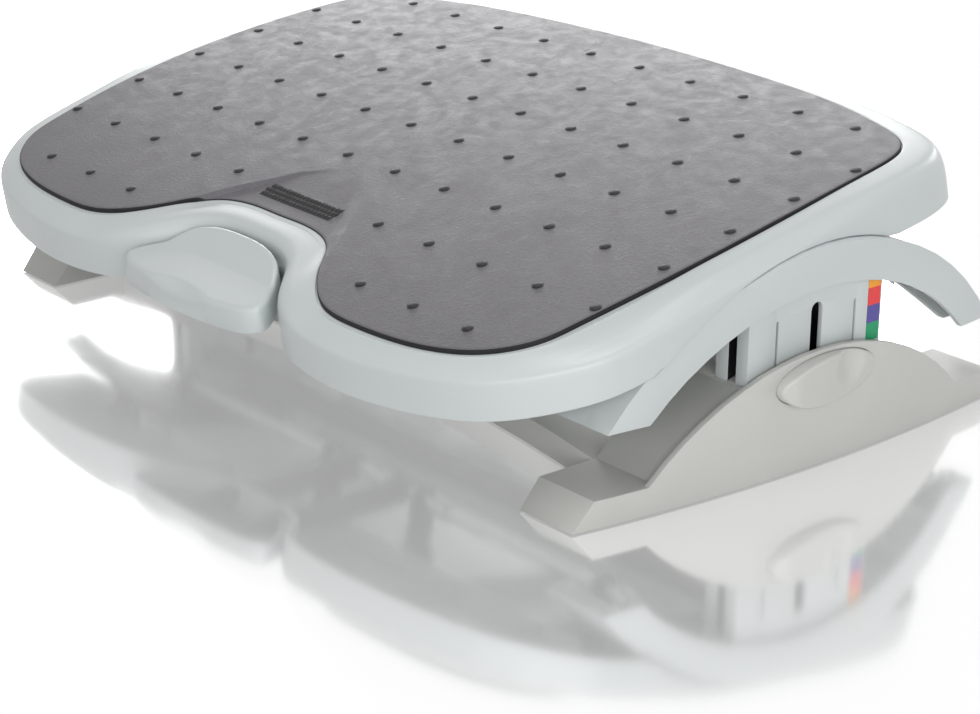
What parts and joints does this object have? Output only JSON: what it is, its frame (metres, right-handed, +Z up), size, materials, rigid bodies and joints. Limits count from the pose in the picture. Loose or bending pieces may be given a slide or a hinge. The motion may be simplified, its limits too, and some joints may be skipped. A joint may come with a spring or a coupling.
{
  "type": "tilting under desk footrest",
  "caption": "Under desk footrest: a padded rocking platform with a brake pedal rides on two arch rails that slide up and down in a two-shoe base with side buttons.",
  "frame": {"origin": "on the floor under the middle of the whole object's bounding box, at the rest pose", "axes": "+X to the user's right, +Y away from the user towards the rear, +Z up; the pedal is at the -Y side"},
  "size_m": [0.571, 0.3906, 0.1544],
  "materials": {
    "deck_plastic": "satin",
    "base_plastic": "satin",
    "inner_plastic": "satin",
    "pad_rubber": "matte",
    "dark_rubber": "matte",
    "scale_print": "gloss",
    "steel": "satin"
  },
  "bodies": {
    "base": {"front_beam": "base_plastic", "rear_beam": "base_plastic", "shoe_right": "base_plastic", "button_spring_right": "steel", "rubber_foot_front_right": "dark_rubber", "rubber_foot_rear_right": "dark_rubber", "beam_screw_front_right": "steel", "beam_screw_rear_right": "steel", "shoe_left": "base_plastic", "button_spring_left": "steel", "rubber_foot_front_left": "dark_rubber", "rubber_foot_rear_left": "dark_rubber", "beam_screw_front_left": "steel", "beam_screw_rear_left": "steel"},
    "carriage": {"tie_front": "inner_plastic", "tie_rear": "inner_plastic", "arch_right": "deck_plastic", "height_scale_right": "scale_print", "tie_screw_front_right": "steel", "tie_screw_rear_right": "steel", "arch_left": "deck_plastic", "height_scale_left": "scale_print", "tie_screw_front_left": "steel", "tie_screw_rear_left": "steel"},
    "platform": {"tray": "deck_plastic", "pad": "pad_rubber", "grip_strip": "dark_rubber", "pedal_spring": "steel", "shaft_hanger_1": "inner_plastic", "shaft_hanger_2": "inner_plastic", "shaft_hanger_3": "inner_plastic", "shaft_hanger_4": "inner_plastic", "rocker_right": "inner_plastic", "keeper_right": "inner_plastic", "rocker_screw_front_right": "steel", "rocker_screw_rear_right": "steel", "rocker_left": "inner_plastic", "keeper_left": "inner_plastic", "rocker_screw_front_left": "steel", "rocker_screw_rear_left": "steel"},
    "pedal_unit": {"pedal": "deck_plastic", "pedal_lever": "inner_plastic", "brake_shaft": "steel", "brake_cam_right": "inner_plastic", "brake_lining_right": "dark_rubber", "brake_cam_left": "inner_plastic", "brake_lining_left": "dark_rubber"},
    "button_unit_right": {"button_right": "base_plastic", "clamp_right": "inner_plastic", "clamp_screw_right": "steel"},
    "button_unit_left": {"button_left": "base_plastic", "clamp_left": "inner_plastic", "clamp_screw_left": "steel"}
  },
  "joints": [
    {"name": "height_slide", "type": "slide", "parent": "base", "child": "carriage", "axis": [0, 0, 1], "range_m": [-0.03, 0]},
    {"name": "tilt_rock", "type": "hinge", "parent": "carriage", "child": "platform", "pos_m": [0, 0.02764, -0.058], "axis": [1, 0, 0], "range_deg": [-26.25, 3.75]},
    {"name": "pedal_press", "type": "hinge", "parent": "platform", "child": "pedal_unit", "pos_m": [0, -0.05432, 0.07708], "axis": [1, 0, 0], "range_deg": [0, 4], "stiffness_Nm_per_rad": 0.6, "springref_deg": -17.19},
    {"name": "button_press_right", "type": "slide", "parent": "base", "child": "button_unit_right", "axis": [-1, 0, 0], "range_m": [0, 0.003], "stiffness_N_per_m": 600, "springref_m": -0.002, "deforming": ["button_spring_right"]},
    {"name": "button_press_left", "type": "slide", "parent": "base", "child": "button_unit_left", "axis": [1, 0, 0], "range_m": [0, 0.003], "stiffness_N_per_m": 600, "springref_m": -0.002, "deforming": ["button_spring_left"]}
  ]
}
